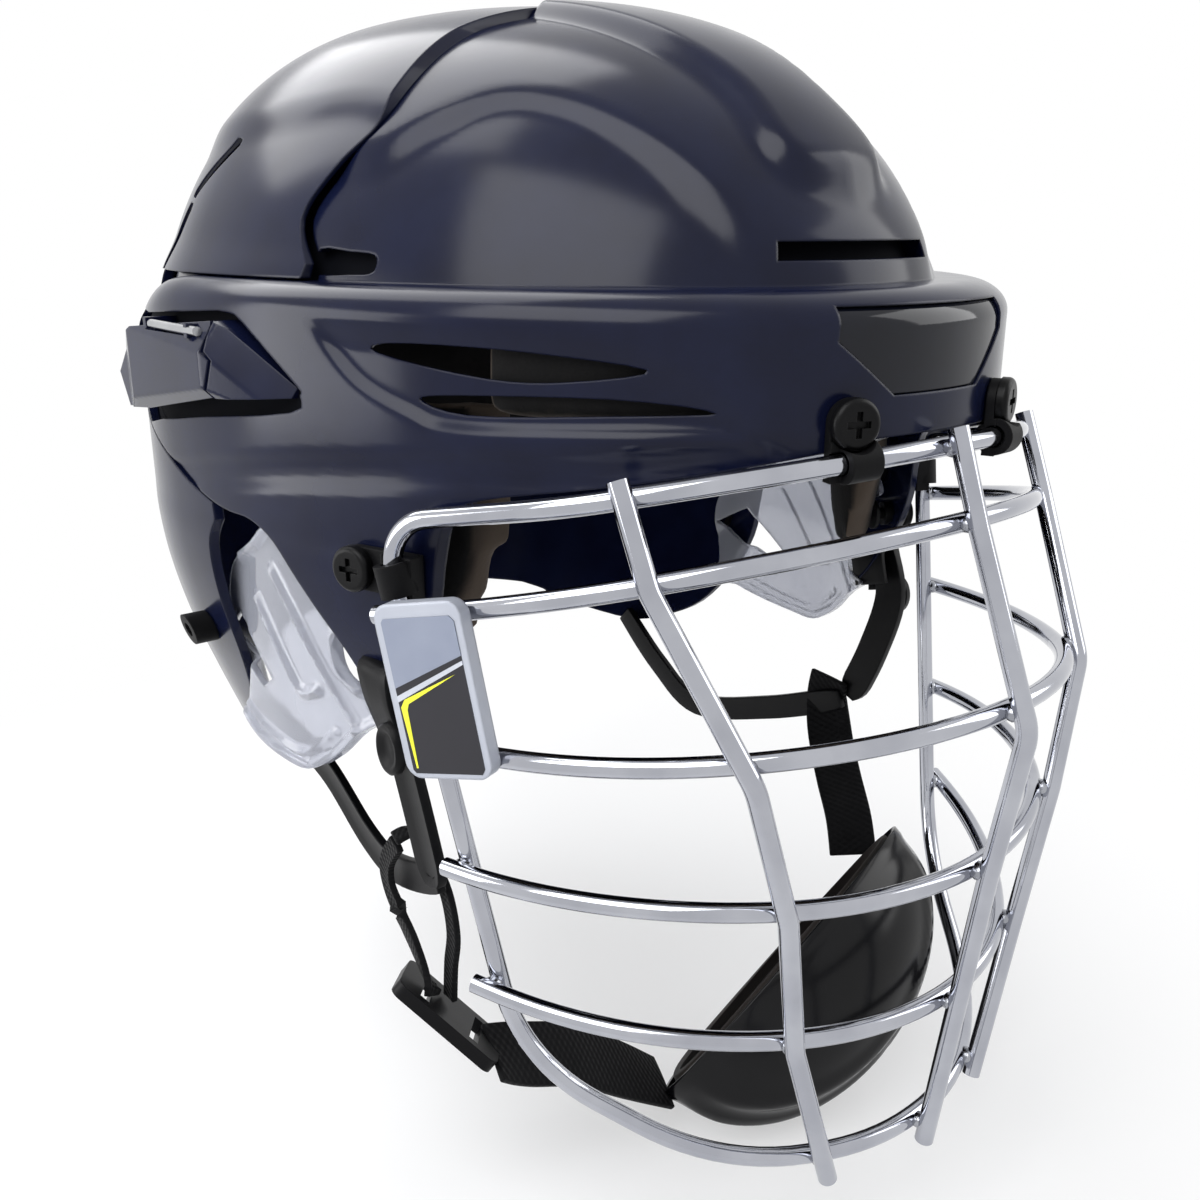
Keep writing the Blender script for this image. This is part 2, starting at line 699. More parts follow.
@dataclass
class SplitShell:
    """The front and rear shells: two mouldings of one wall, the rear one's thick edge over the front one."""

    front_inset: float = 1.5
    rear_outset: float = 3.0
    ridge_rise: float = 2.2
    panel_rise: float = 4.0
    rear_step: float = 1.8
    scoop_depth: float = 2.4
    groove_depth: float = 0.9
    groove_half_width: float = 5.2
    badge_depth: float = 1.9
    seam: float = 0.6
    lining: float = 2.2
    dome_faces: tuple[int, int] = (320, 200)
    band_faces: tuple[int, int] = (520, 150)
    rear_band_faces: tuple[int, int] = (320, 160)
    lining_faces: tuple[int, int] = (140, 90)
    split: tuple[Point, ...] = (
        (-0.298, 0.934), (-0.33, 0.83), (-0.338, 0.747), (-0.304, 0.673), (-0.276, 0.58), (-0.321, 0.501))
    face_edge: tuple[Point, ...] = (
        (-1.2, 0.236), (-1.0, 0.232), (-0.963, 0.212), (-0.877, 0.179), (-0.785, 0.153), (-0.653, 0.12),
        (-0.607, 0.082), (-0.59, 0.007), (-0.582, -0.067), (-0.562, -0.149), (-0.516, -0.247), (-0.49, -0.299),
        (-0.47, -0.325), (-0.453, -0.318), (-0.427, -0.262), (-0.401, -0.194), (-0.344, -0.097),
        (-0.292, -0.022), (-0.235, 0.013), (-0.178, 0.018), (-0.126, 0.028), (-0.048, 0.056), (0.032, 0.094),
        (0.12, 0.132), (0.287, 0.202))
    crease: tuple[Point, ...] = ((0.287, 0.202), (0.12, 0.132), (0.032, 0.094), (-0.048, 0.056), (-0.126, 0.028))
    ear_rear: tuple[Point, ...] = (
        (-0.126, -0.012), (-0.097, -0.075), (-0.092, -0.2), (-0.092, -0.321), (-0.057, -0.433), (0.011, -0.546),
        (0.103, -0.613), (0.195, -0.643), (0.344, -0.613), (0.516, -0.538), (1.2, -0.47))
    pocket: tuple[Point, ...] = (
        (38, 50.5), (14, 52.4), (-25, 54.8), (-38, 55.2), (-45.5, 52.8), (-64, 39.3), (-65.5, 36.5),
        (-61.5, 32), (-20, 26.6), (9, 22.6), (38, 20.5))
    scoop: tuple[Point, ...] = (
        (-0.785, 0.389), (-0.837, 0.366), (-0.877, 0.321), (-0.923, 0.232), (-0.871, 0.247), (-0.625, 0.239),
        (-0.556, 0.262), (-0.476, 0.31), (-0.418, 0.389), (-0.441, 0.407), (-0.682, 0.4))
    side_vents: tuple[tuple[Point, ...], ...] = (
        ((-0.499, 0.359), (-0.53, 0.377), (-0.682, 0.374), (-0.825, 0.348), (-0.745, 0.325), (-0.653, 0.325)),
        ((-0.562, 0.284), (-0.619, 0.295), (-0.785, 0.299), (-0.883, 0.279), (-0.785, 0.271), (-0.625, 0.262)))
    foot_slit: tuple[Point, ...] = (
        (-73.5, 66.6), (-72, 69.3), (-64, 70), (-54, 70.4), (-54, 64.6), (-66, 64.6), (-72, 64.9))
    strap_slot: tuple[Point, Point] = ((-6, 0), (6, 3))
    strap_slot_place: Point = (-0.48, -0.245)
    brow_slot: tuple[Point, ...] = ((-27, 68.5), (27, 68.5), (26, 72.7), (-26, 72.7))
    brow_room: tuple[Point, Point] = ((-36, 55), (36, 82))
    badge: tuple[Point, ...] = (
        (-0.255, 0.445), (-0.26, 0.39), (-0.133, 0.3), (0.133, 0.3), (0.26, 0.39), (0.255, 0.445))
    rear_vents: tuple[tuple[Point, Point], ...] = (
        ((0.011, 0.725), (0.103, 0.64)), ((0.117, 0.598), (0.175, 0.485)))
    vent_end: Point = (3.2, 2.2)
    ridge_plan: tuple[Point, ...] = (
        (-86, 10), (-84, -30), (-80.5, -59.3), (-70.2, -71), (-57, -83), (-49.5, -96), (-43.6, -111),
        (-36, -133), (-29, -158))
    panel_plan: tuple[Point, ...] = (
        (-27, 20), (-25, -30), (-23, -62), (-19.5, -95), (-17, -118), (-18.5, -131), (-14, -139), (0, -142))
    rear_plan: tuple[Point, ...] = (
        (-72, -90), (-77, -52), (-83, -28), (-87, 0), (-84, 28), (-70, 60), (-40, 84), (0, 92))
    groove_line: tuple[Point, ...] = (
        (12, 7), (-2.7, 8.5), (-22, 12), (-42.8, 14.8), (-62, 17.5), (-80.3, 19.5), (-107.2, 22.3),
        (-137.4, 24.5), (-160, 28))

    def plan_depth(self, places: np.ndarray, half: Sequence[Point]) -> np.ndarray:
        """Measures how far places lie inside a plan outline, which is given as its right half."""
        curve = rounded(half, 5)
        return inside_depth(places[:, :2], curve + [(-x, y) for x, y in curve[::-1] if abs(x) > 0.01])

    def crown_relief(self, places: np.ndarray) -> np.ndarray:
        """Returns the front dome's relief: the plateau between the ridges and the raised middle panel."""
        ridge = self.ridge_rise * eased(self.plan_depth(places, self.ridge_plan), -3.5, 3.5)
        panel = self.panel_rise * eased(self.plan_depth(places, self.panel_plan), -2.5, 5.0)
        return (ridge + panel) * eased(places[:, 2], BAND_TOP - 6, BAND_TOP + 12)

    def rear_relief(self, places: np.ndarray) -> np.ndarray:
        """Returns the rear dome's relief: its plateau goes on from the front one's ridges."""
        plateau = eased(self.plan_depth(places, self.rear_plan), -4.0, 4.0)
        return self.rear_step * (plateau - 1) * eased(places[:, 2], BAND_TOP - 3, BAND_TOP + 12)

    def band_relief(self, places: np.ndarray) -> np.ndarray:
        """Returns the band's relief: the scoops over the temples, the lower groove and the lean at the nape."""
        seen = places[:, 1:]
        scoop = eased(inside_depth(seen, rounded(side_shares(self.scoop), 14, closed=True)), -1.5, 4.0)
        groove = eased(self.groove_half_width - line_reach(seen, self.groove_line, 18), 0, 3.2)
        relief = np.where(np.abs(places[:, 0]) > 25, -self.scoop_depth * scoop, 0)
        return relief - self.groove_depth * groove * eased(-places[:, 1], -16, -8) + nape_taper(places)

    def front_outline(self) -> list[Point]:
        """Returns the front shell's side view, with its tongues over the ears."""
        split = rounded(side_shares(self.split), 5)
        lower = rounded(side_shares(self.face_edge), 4)
        head = [(-OVERRUN, OVERRUN), (-OVERRUN, lower[0][1])]
        shoulder = [(lower[-1][0], BAND_TOP), (split[-1][0], BAND_TOP)]
        return head + lower + shoulder + split[::-1] + [(split[0][0], OVERRUN)]

    def rear_outline(self) -> list[Point]:
        """Returns the rear shell's side view, a seam away from the front shell's."""
        gap = self.seam
        split = [(y + gap, z) for y, z in rounded(side_shares(self.split), 5)]
        crease = [(y + gap, z - gap) for y, z in rounded(side_shares(self.crease), 4)]
        lower = rounded(side_shares(self.ear_rear), 4)
        shoulder = [(split[-1][0], BAND_TOP + gap), (crease[0][0], BAND_TOP + gap)]
        far = [(OVERRUN, lower[-1][1]), (OVERRUN, OVERRUN)]
        return [(split[0][0], OVERRUN)] + split + shoulder + crease + lower + far

    def moulding(self, dome: bpy.types.Object, band: bpy.types.Object, outline: Sequence[Point],
                 outset: float) -> bpy.types.Object:
        """Joins a dome to a band, trims both to a side view and hollows them.

        Args:
            dome: The dome's solid.
            band: The band's solid.
            outline: The side view.
            outset: How far the dome stands outside its driving sizes.

        Returns:
            The shell.
        """
        shell = combine(dome, band, "UNION")
        combine(shell, prism(outline, -OVERRUN, OVERRUN), "INTERSECT")
        combine(shell, CROWN.solid(outset - SHELL_WALL, 120, 70), "DIFFERENCE")
        return combine(shell, BAND.solid(-SHELL_WALL, 120, 80, nape_taper), "DIFFERENCE")

    def front(self) -> bpy.types.Object:
        """Builds the front shell."""
        shell = self.moulding(
            CROWN.solid(-self.front_inset, *self.dome_faces, self.crown_relief),
            BAND.solid(0, *self.band_faces, self.band_relief), self.front_outline(), -self.front_inset)
        slot_y, slot_z = side_shares([self.strap_slot_place])[0]
        slot = box_outline(*[(y + slot_y, z + slot_z) for y, z in self.strap_slot])
        for side in Side:
            tools = [through(side, rounded(side_shares(vent), 4, closed=True), 40) for vent in self.side_vents]
            tools += [through(side, rounded(hole, 3, closed=True), 60) for hole in (self.pocket, self.foot_slit)]
            for tool in tools + [through(side, slot, 60)]:
                combine(shell, tool, "DIFFERENCE")
        combine(shell, prism(self.brow_slot, -OVERRUN, -80, "Y"), "DIFFERENCE")
        recess = prism([(x * BAND_HALF_WIDTH, z * DOME_HEIGHT) for x, z in self.badge], -OVERRUN, -80, "Y")
        combine(recess, BAND.solid(-self.badge_depth, 180, 110), "DIFFERENCE")
        combine(shell, recess, "DIFFERENCE")
        return soften(shell, "front_shell_moulding")

    def lip(self) -> bpy.types.Object:
        """Builds the dark lining under the split and behind the slits at its feet and over the brow."""
        inset = -self.front_inset - SHELL_WALL
        edge = side_shares(self.split)
        ahead = [(y - 16, z) for y, z in edge[:-1]] + [(-82, 76), (-82, 55)]
        behind = [(-40, 55)] + [(y + 12, z) for y, z in edge[-2::-1]]
        outline = [(ahead[0][0], 150)] + ahead + behind + [(behind[-1][0], 150)]
        lip = CROWN.skin(inset, self.lining, *self.lining_faces)
        brow = CROWN.skin(inset, self.lining, *self.lining_faces)
        combine(brow, prism(box_outline(*self.brow_room), -OVERRUN, -90, "Y"), "INTERSECT")
        combine(lip, prism(outline, -OVERRUN, OVERRUN), "INTERSECT")
        combine(lip, brow, "UNION")
        crease = rounded(side_shares(self.crease), 4)[:-4]
        above = [(y, z + 5) for y, z in crease[::-1]] + [(43, 34), (43, 61)]
        outline = [(57, 61), (57, 20)] + [(y, z - 5) for y, z in crease] + above
        under = BAND.skin(-SHELL_WALL - 0.2, 0.8, 160, 100, nape_taper)
        combine(under, prism(outline, -OVERRUN, OVERRUN), "INTERSECT")
        combine(lip, under, "UNION")
        lip.name = "front_shell_lip"
        return lip

    def rear(self) -> bpy.types.Object:
        """Builds the rear shell with its vents and its two lower lobes."""
        shell = self.moulding(
            CROWN.solid(self.rear_outset, *self.dome_faces, self.rear_relief),
            BAND.solid(0, *self.rear_band_faces, nape_taper), self.rear_outline(), self.rear_outset)
        wide, tall = self.vent_end
        for side in Side:
            for ends in self.rear_vents:
                (top_y, top_z), (foot_y, foot_z) = side_shares(ends)
                vent = [(top_y - wide, top_z), (top_y, top_z + tall), (top_y + wide, top_z),
                        (foot_y + wide, foot_z), (foot_y, foot_z - tall), (foot_y - wide, foot_z)]
                combine(shell, through(side, rounded(vent, 3, closed=True), 30), "DIFFERENCE")
        return soften(shell, "rear_shell_moulding")

    def build(self) -> None:
        """Builds and dresses both shells."""
        finish_piece(self.front(), SHELL, "front", "shell", "front_shell")
        finish_piece(self.lip(), INNER, "front", "shell")
        finish_piece(self.rear(), SHELL, "rear", "rear_shell", "rear_shell")


# Ear guards, adjusters and tag


@dataclass
class EarGuards:
    """The clear ear guards: thin dishes with a rolled rim, two ribs, a ledge and a hearing hole."""

    half_width: float = 107.2
    half_length: float = 115.0
    setback: float = 30.0
    wall: float = 2.0
    shell_gap: float = 1.6
    rim_width: float = 2.6
    rim_rise: float = 1.5
    ledge_rise: float = 1.0
    ledge_width: float = 1.0
    rib_rise: float = 1.7
    rib_width: float = 1.3
    room: tuple[Point, Point] = ((-92, -72), (4, 12))
    pitch: float = 0.9
    outline: tuple[Point, ...] = (
        (-90, -8), (-60, 9), (-45, 4), (-32, -6.5), (-12, -17), (-2, -28), (0, -39.5), (-5, -52.5), (-8.5, -62.5),
        (-23, -66.8), (-40, -68.3), (-53, -67.8), (-64, -61.2), (-73, -52.2), (-83, -45.5), (-84, -43.2),
        (-74, -40), (-67.5, -36), (-66, -28), (-70, -18), (-84, -14))
    opening: tuple[Point, ...] = (
        (-85.5, -40), (-79, -42.5), (-70, -26), (-60, -13), (-51, -3), (-41, 1.7), (-31, 2.4), (-22, -1.6),
        (-17, -10), (-16, -26.8), (-16, -43), (-10, -58), (2, -73), (0, -90), (-85.5, -90))
    ledge: tuple[Point, ...] = ((-6, -50), (-8.5, -57.5), (-22, -62), (-40, -64.5), (-50, -64), (-58, -59), (-64, -54))
    ribs: tuple[tuple[Point, ...], ...] = (
        ((-41, -13), (-50, -23), (-60, -35.5), (-66, -43), (-72, -51)),
        ((-31, -23), (-38, -31), (-46, -40.5), (-51, -45.5), (-58, -43.5)))
    hole: tuple[Point, ...] = (
        (-2.5, -38.3), (-14, -32), (-16, -32.6), (-33.5, -45), (-33.6, -47.2), (-29, -50.2), (-27, -49.9), (-3, -40.4))

    def lift(self, flat: np.ndarray) -> np.ndarray:
        """Returns the height of the rim, the ledge and the ribs."""
        rise = self.rim_rise * eased(self.rim_width - inside_depth(flat, self.outline), 0, 1.2)
        lines = [(self.ledge, self.ledge_rise, self.ledge_width)]
        for line, height, width in lines + [(rib, self.rib_rise, self.rib_width) for rib in self.ribs]:
            rise = rise + height * np.exp(-((line_reach(flat, line) / width) ** 2))
        return rise

    def face(self, inset: float, relieved: bool) -> Face:
        """Returns the dish's face at an inset: the guard's column in the opening, inside the shell beside it."""
        def bow(along: np.ndarray) -> np.ndarray:
            """Returns the share of an oval's width at a share of its half length."""
            return np.sqrt(np.clip(1 - along**2, 0.05, 1))

        def distance(flat: np.ndarray) -> np.ndarray:
            """Returns the face's distance from the middle plane for (y, z) rows."""
            y, z = flat[:, 0], flat[:, 1]
            column = (self.half_width - inset) * bow((y + self.setback) / (self.half_length - inset))
            length = np.where(y < 0, BAND_FRONT_LENGTH, BAND_BACK_LENGTH)
            taper = BAND.wall(np.clip(-z / SHELL_DEPTH, 0, 1))
            inside = (BAND_HALF_WIDTH - SHELL_WALL - self.shell_gap - inset) * taper * bow(y / length)
            free = eased(inside_depth(flat, self.opening), 0.5, 5.0)
            base = np.minimum(column, inside) * (1 - free) + column * free
            return base + self.lift(flat) * free if relieved else base
        return distance

    def build(self) -> None:
        """Builds both guards."""
        for side in Side:
            dish = slab("dish", side, *self.room, self.pitch, self.face(0, True), self.face(self.wall, False))
            combine(dish, prism(rounded(self.outline, 4, closed=True), -OVERRUN, OVERRUN), "INTERSECT")
            combine(dish, prism(rounded(self.hole, 3, closed=True), -OVERRUN, OVERRUN), "DIFFERENCE")
            guard = soften(dish, f"ear_guard_dish_{side.word}")
            finish_piece(guard, CLEAR, "front", "clear_guard", f"ear_guard_{side.word}")


@dataclass
class Adjuster:
    """The size adjuster's faceted cover on each side: a hinged flap and the fixed fairing in front of it.

    The facets are planes: the distance from the middle plane at the origin, and its slopes along Y and Z.
    """

    flap: tuple[Point, ...] = (
        (9, 49.2), (-38.0, 53.2), (-38.4, 45.6), (-40.6, 43.6), (-38.0, 34.0), (10, 26.0), (30, 24.4), (36, 34),
        (27, 42))
    fairing: tuple[Point, ...] = (
        (-38.8, 53.2), (-42.8, 51.6), (-60.9, 37.7), (-60.2, 35.2), (-38.9, 33.8), (-41.5, 43.6), (-39.3, 45.9))
    body: tuple[Point, ...] = (
        (-68, 40), (-47, 56), (-36, 57.5), (43, 56), (43, 18.5), (9, 19.5), (-64, 29), (-68, 34))
    facets: tuple[Place, ...] = (
        (121.008, 0.016, 0.0), (140.54, 0.53, 0.0), (124.8, -0.3, 0.0), (150.0384, 0.0592, -0.6),
        (170.41159533, 0.82766537, -0.402723735), (87.045, 0.1815, 1.1))
    room: tuple[Point, Point] = ((-69, 17), (45, 58.5))
    pitch: float = 0.55
    flap_back: float = 116.4
    flap_wall: float = 0.8
    fairing_wall: float = 1.0
    bed_depth: float = 3.4
    bed_wall: float = 2.0
    pin_x: float = 119.1
    pin_z: float = 50.58
    slot: Point = (-29.0, -2.0)
    slot_floor: Point = (118.0, 49.0)
    lug_foot: float = 111.0
    lug_width: float = 2.0

    def cover(self, flat: np.ndarray) -> np.ndarray:
        """Returns the faceted outer face's distance from the middle plane."""
        return np.minimum.reduce([start + flat @ (along, up) for start, along, up in self.facets])

    def flap_top(self, flat: np.ndarray) -> np.ndarray:
        """Returns the flap's outer face, which ends level at its thin tip."""
        return np.maximum(self.cover(flat), self.flap_back)

    def bed(self, flat: np.ndarray) -> np.ndarray:
        """Returns the distance of the dark plate that closes the window under the cover."""
        length = np.where(flat[:, 0] < 0, BAND_FRONT_LENGTH, BAND_BACK_LENGTH)
        lean = nape_taper(np.column_stack([flat[:, 0], flat]))
        return BAND_HALF_WIDTH * np.sqrt(1 - (flat[:, 0] / length) ** 2) - self.bed_depth + lean

    def piece(self, side: Side, outline: Sequence[Point], outer: Face, inner: Face) -> bpy.types.Object:
        """Cuts a plate out of the room between two faces."""
        plate = slab("plate", side, *self.room, self.pitch, outer, inner)
        return combine(plate, prism(outline, -OVERRUN, OVERRUN), "INTERSECT")

    def build_side(self, side: Side) -> None:
        """Builds one side's cover, bed and lugs, and dresses its pin."""
        out, word = side.value, side.word
        flap = self.piece(side, self.flap, self.flap_top,
                          lambda flat: np.minimum(self.flap_top(flat) - self.flap_wall, self.flap_back))
        floor, foot = self.slot_floor
        slot = block((out * floor, self.slot[0], foot), (out * (floor + 12), self.slot[1], foot + 11))
        flap = soften(combine(flap, slot, "DIFFERENCE"), f"adjuster_flap_{word}")
        finish_piece(flap, LATCH, f"flap_{word}", "trim", f"latch_flap_{word}")
        bed = self.piece(side, self.body, self.bed, lambda flat: self.bed(flat) - self.bed_wall)
        finish_piece(soften(bed, f"adjuster_bed_{word}"), INNER, "front", "trim")
        base = self.piece(side, self.fairing, self.cover,
                          lambda flat: np.minimum(self.cover(flat), self.bed(flat)) - self.fairing_wall)
        for y in (self.slot[0] - self.lug_width - 0.2, self.slot[1] + 0.2):
            low = (out * self.lug_foot, y, self.pin_z - 2.0)
            combine(base, block(low, (out * (self.pin_x + 1.0), y + self.lug_width, self.pin_z + 1.6)), "UNION")
        base = soften(base, f"adjuster_base_{word}")
        finish_piece(base, LATCH, "front", "trim", f"latch_base_{word}")
        dress(STEEL, f"latch_pin_{word}")

    def build(self) -> None:
        """Builds both sides."""
        for side in Side:
            self.build_side(side)


@dataclass
class SizeTag:
    """The size tag: its silver frame and a plain printed panel with slanted fields.

    A field's corners are shares of the plate's half width and half length.
    """

    panel: tuple[Point, ...] = (
        (-0.84, 0.8), (-0.78, 0.84), (0.74, 0.84), (0.84, 0.78), (0.84, -0.88), (0.76, -0.94), (-0.78, -0.94),
        (-0.84, -0.9))
    grey: tuple[Point, ...] = ((-0.84, 0.8), (-0.78, 0.84), (0.74, 0.84), (0.84, 0.78), (0.84, 0.4), (-0.84, 0.05))
    stripe: tuple[Point, ...] = ((-0.84, -0.04), (0.84, 0.345), (0.84, 0.3), (-0.84, -0.11))
    yellow: tuple[Point, ...] = (
        (0.64, 0.2), (-0.6, -0.13), (-0.66, -0.2), (-0.7, -0.88), (-0.74, -0.88), (-0.8, -0.17), (-0.68, -0.08))
    panel_rise: float = 0.12
    field_rise: float = 0.2

    def build(self) -> None:
        """Measures the tag's plate, dresses it and lays the printed fields on it."""
        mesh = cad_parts["size_tag"].data
        largest = max((p for p in mesh.polygons if p.normal.x < -0.3), key=lambda p: p.area)
        out = largest.normal.copy()
        places = [v.co.copy() for v in mesh.vertices if abs((v.co - largest.center).dot(out)) < 0.05 * MM]
        middle = sum(places, Vector()) / len(places)
        flat = np.array([place - middle for place in places])
        long = Vector(np.linalg.eigh(flat.T @ flat)[1][:, -1])
        long = long if long.z > 0 else -long
        wide = long.cross(out).normalized()
        wide, long = (axis * max(abs(Vector(place).dot(axis)) for place in flat) for axis in (wide, long))
        dress(TAG_FRAME, "size_tag")
        fields = ((self.panel, TAG_BLACK, self.panel_rise), (self.grey, TAG_GREY, self.field_rise),
                  (self.stripe, TAG_SILVER, self.field_rise), (self.yellow, TAG_YELLOW, self.field_rise))
        for outline, look, height in fields:
            bm = bmesh.new()
            bm.faces.new([bm.verts.new((middle + wide * u + long * v) / MM) for u, v in outline])
            thicken(bm, out * height)
            finish_piece(new_object(f"tag_{look.name}", bm, smooth=False), look, "front", "tag")


# Straps and webbing


def grid_place(vert: bmesh.types.BMVert, count: int) -> tuple[int, float]:
    """Returns a grid vertex's number along a strap and its share across, from -0.5 to 0.5."""
    return round((vert.co.x + 1) / 2 * (count - 1)), vert.co.y / 2


def heading(line: Sequence[Vector], at: int) -> Vector:
    """Returns a line's direction at one of its points."""
    return (line[min(at + 1, len(line) - 1)] - line[max(at - 1, 0)]).normalized()


def ribbon(
    name: str, centre: Sequence[Vector], across: Sequence[Vector], width: float, thickness: float,
    rows: int = 6, crown: float = 0.0,
) -> bpy.types.Object:
    """Makes a flat strap along a line, with its own weave map in metres.

    Args:
        name: The piece's name.
        centre: Points along its middle.
        across: The direction across it at each point.
        width: Its width.
        thickness: Its thickness.
        rows: Faces across it.
        crown: How far its middle stands proud of its edges.

    Returns:
        The strap.
    """
    count = len(centre)
    runs = np.cumsum([0.0] + [(after - before).length for before, after in zip(centre, centre[1:])])
    bm = bmesh.new()
    bmesh.ops.create_grid(bm, x_segments=count - 1, y_segments=rows, size=1)
    uv = bm.loops.layers.uv.new("weave")
    for face in bm.faces:
        for loop in face.loops:
            at, side = grid_place(loop.vert, count)
            loop[uv].uv = (runs[at] * MM, side * width * MM)
    for vert in bm.verts:
        at, side = grid_place(vert, count)
        run = heading(centre, at)
        wide = (across[at] - run * across[at].dot(run)).normalized()
        vert.co = centre[at] + wide * side * width + run.cross(wide) * crown * (1 - 4 * side * side)
    made = new_object(name, bm)
    modifier(made, "SOLIDIFY", thickness=thickness * MM, offset=0.0, use_even_offset=True)
    roll_edges(made, min(0.45, thickness / 4), 2, use_clamp_overlap=True)
    made.data.set_sharp_from_angle(angle=math.radians(50))
    return made


def curve_through(points: Sequence[Vector], steps: int = 8) -> list[Vector]:
    """Runs a smooth curve through places in space."""
    flat_xy = rounded([(p.x, p.y) for p in points], steps)
    flat_xz = rounded([(p.x, p.z) for p in points], steps)
    return [Vector((a[0], a[1], b[1])) for a, b in zip(flat_xy, flat_xz)]


@dataclass
class StrapHanger:
    """One side's V of moulded arms, with its collar and its snap knob."""

    side: Side
    front_route: tuple[Point, ...]
    rear_route: tuple[Point, ...]
    arm_width: float = 9.0
    front_width: float = 11.0
    thickness: float = 2.8
    channel_share: float = 0.24
    channel_depth: float = 0.7
    end_runs: float = 3.0
    rear_at: Place = (82.2, 34.9, 0.0783)
    arm_step: float = 3.4
    top: Point = (99.6, -32.1)
    collar_at: Point = (-84.0, -31.3)
    collar_width: float = 13.0
    collar_wall: float = 1.8
    collar_lean: float = 0.28
    collar_loop: tuple[Point, ...] = (
        (1.2, -47.0), (3.0, -38.0), (2.4, -31.0), (-1.5, -30.6), (-5.2, -33.0), (-5.6, -44.0))
    knob_rim: tuple[Point, ...] = ((0, 2.0), (3.2, 2.0), (4.2, 2.9), (5.2, 3.0), (5.8, 2.4), (5.9, 0.4), (5.2, 0.0))
    knob_oval: Place = (1.2, 0.95, 1.0)

    def rear_x(self, y: float) -> float:
        """Returns the rear arm's X at a place along Y."""
        x, start, slope = self.rear_at
        return self.side.value * (x + (start - y) * slope)

    def front_x(self, z: float) -> float:
        """Returns the front arm's X at a height; it leans in from the lobe to the rear arm's outer face."""
        foot_y, foot_z = self.rear_route[-1]
        foot = abs(self.rear_x(foot_y)) + self.arm_step
        return self.side.value * (foot + (z - foot_z) / (self.top[1] - foot_z) * (self.top[0] - foot))

    def arm(self, name: str, centre: list[Vector], width: float, taper: float) -> bpy.types.Object:
        """Moulds one arm with a long channel in its outer face and a rounded end.

        Args:
            name: The piece's name.
            centre: Points along its middle.
            width: Its width.
            taper: The share by which its end narrows.

        Returns:
            The arm.
        """
        count = len(centre)
        out = Vector((self.side.value, 0, 0))
        bm = bmesh.new()
        bmesh.ops.create_grid(bm, x_segments=count - 1, y_segments=2, size=1)
        for vert in bm.verts:
            at, side = grid_place(vert, count)
            left = min(at, count - 1 - at) / (count - 1)
            end = 1 - taper * max(0.0, 1 - (count - 1 - at) / self.end_runs) ** 2
            wide = width * end * (0.92 + 0.08 * min(1.0, left * 8))
            across = heading(centre, at).cross(out).normalized()
            vert.co = centre[at] + across * side * wide - out * self.thickness / 2
        tops = thicken(bm, out * self.thickness)
        bmesh.ops.inset_region(bm, faces=tops, thickness=width * self.channel_share, depth=-self.channel_depth,
                               use_even_offset=True)
        made = roll_edges(new_object(name, bm), 0.55, 3, 40, use_clamp_overlap=True)
        made.data.set_sharp_from_angle(angle=math.radians(45))
        return made

    def knob(self) -> bpy.types.Object:
        """Turns the oval snap knob with its dished face."""
        y, z = self.front_route[1]
        bm = bmesh.new()
        verts = [bm.verts.new((r, 0, h)) for r, h in self.knob_rim]
        edges = [bm.edges.new(pair) for pair in zip(verts, verts[1:])]
        bmesh.ops.spin(bm, geom=verts + edges, cent=(0, 0, 0), axis=(0, 0, 1), angle=2 * math.pi, steps=40,
                       use_merge=True)
        bmesh.ops.remove_doubles(bm, verts=bm.verts, dist=0.01)
        bmesh.ops.holes_fill(bm, edges=[e for e in bm.edges if e.is_boundary], sides=0)
        bmesh.ops.scale(bm, vec=self.knob_oval, verts=bm.verts)
        turn = Matrix.Rotation(math.radians(90) * self.side.value, 4, "Y")
        bmesh.ops.transform(bm, matrix=turn, verts=bm.verts)
        x = self.front_x(z) + self.side.value * self.thickness / 2
        bmesh.ops.translate(bm, vec=(x, y, z), verts=bm.verts)
        face_outwards(bm)
        made = new_object(f"snap_knob_cap_{self.side.word}", bm)
        made.data.set_sharp_from_angle(angle=math.radians(50))
        return made

    def collar(self) -> bpy.types.Object:
        """Folds the wide rubber collar through the lobe's slot and round the arm's top."""
        y, z = self.collar_at
        shell = BAND.wall(np.array([abs(z) / SHELL_DEPTH]))[0]
        x = BAND_HALF_WIDTH * shell * math.sqrt(1 - (y / BAND_FRONT_LENGTH) ** 2)
        out, lean = self.side.value, self.collar_lean
        centre = curve_through([Vector((out * (x + px), y - (z - pz) * lean, pz)) for px, pz in self.collar_loop], 6)
        across = [Vector((0, 1, 0.1))] * len(centre)
        name = f"strap_collar_{self.side.word}"
        return ribbon(name, centre, across, self.collar_width, self.collar_wall, rows=4)

    def build(self) -> None:
        """Builds the V and gives it its finish."""
        word = self.side.word
        front = curve_through([Vector((self.front_x(z), y, z)) for y, z in self.front_route], 7)
        rear = curve_through([Vector((self.rear_x(y), y, z)) for y, z in self.rear_route], 7)
        arms = (("front", front, self.front_width, 0.45), ("rear", rear, self.arm_width, 0.2))
        for name, centre, width, taper in arms:
            made = self.arm(f"{name}_arm_moulding_{word}", centre, width, taper)
            finish_piece(made, STRAP_PLASTIC, "front", "strap_plastic", f"strap_{name}_arm_{word}")
        finish_piece(self.knob(), STRAP_PLASTIC, "front", "strap_plastic", f"snap_knob_{word}")
        finish_piece(self.collar(), STRAP_PLASTIC, "front", "strap_plastic")


@dataclass(frozen=True)
class Strap:
    """One woven strap: the places that it passes, each with the direction across it there."""

    name: str
    look: Finish
    width: float
    places: tuple[Place, ...]
    across: tuple[Place, ...]
    stands_for: tuple[str, ...] = ()
    steps: int = 8


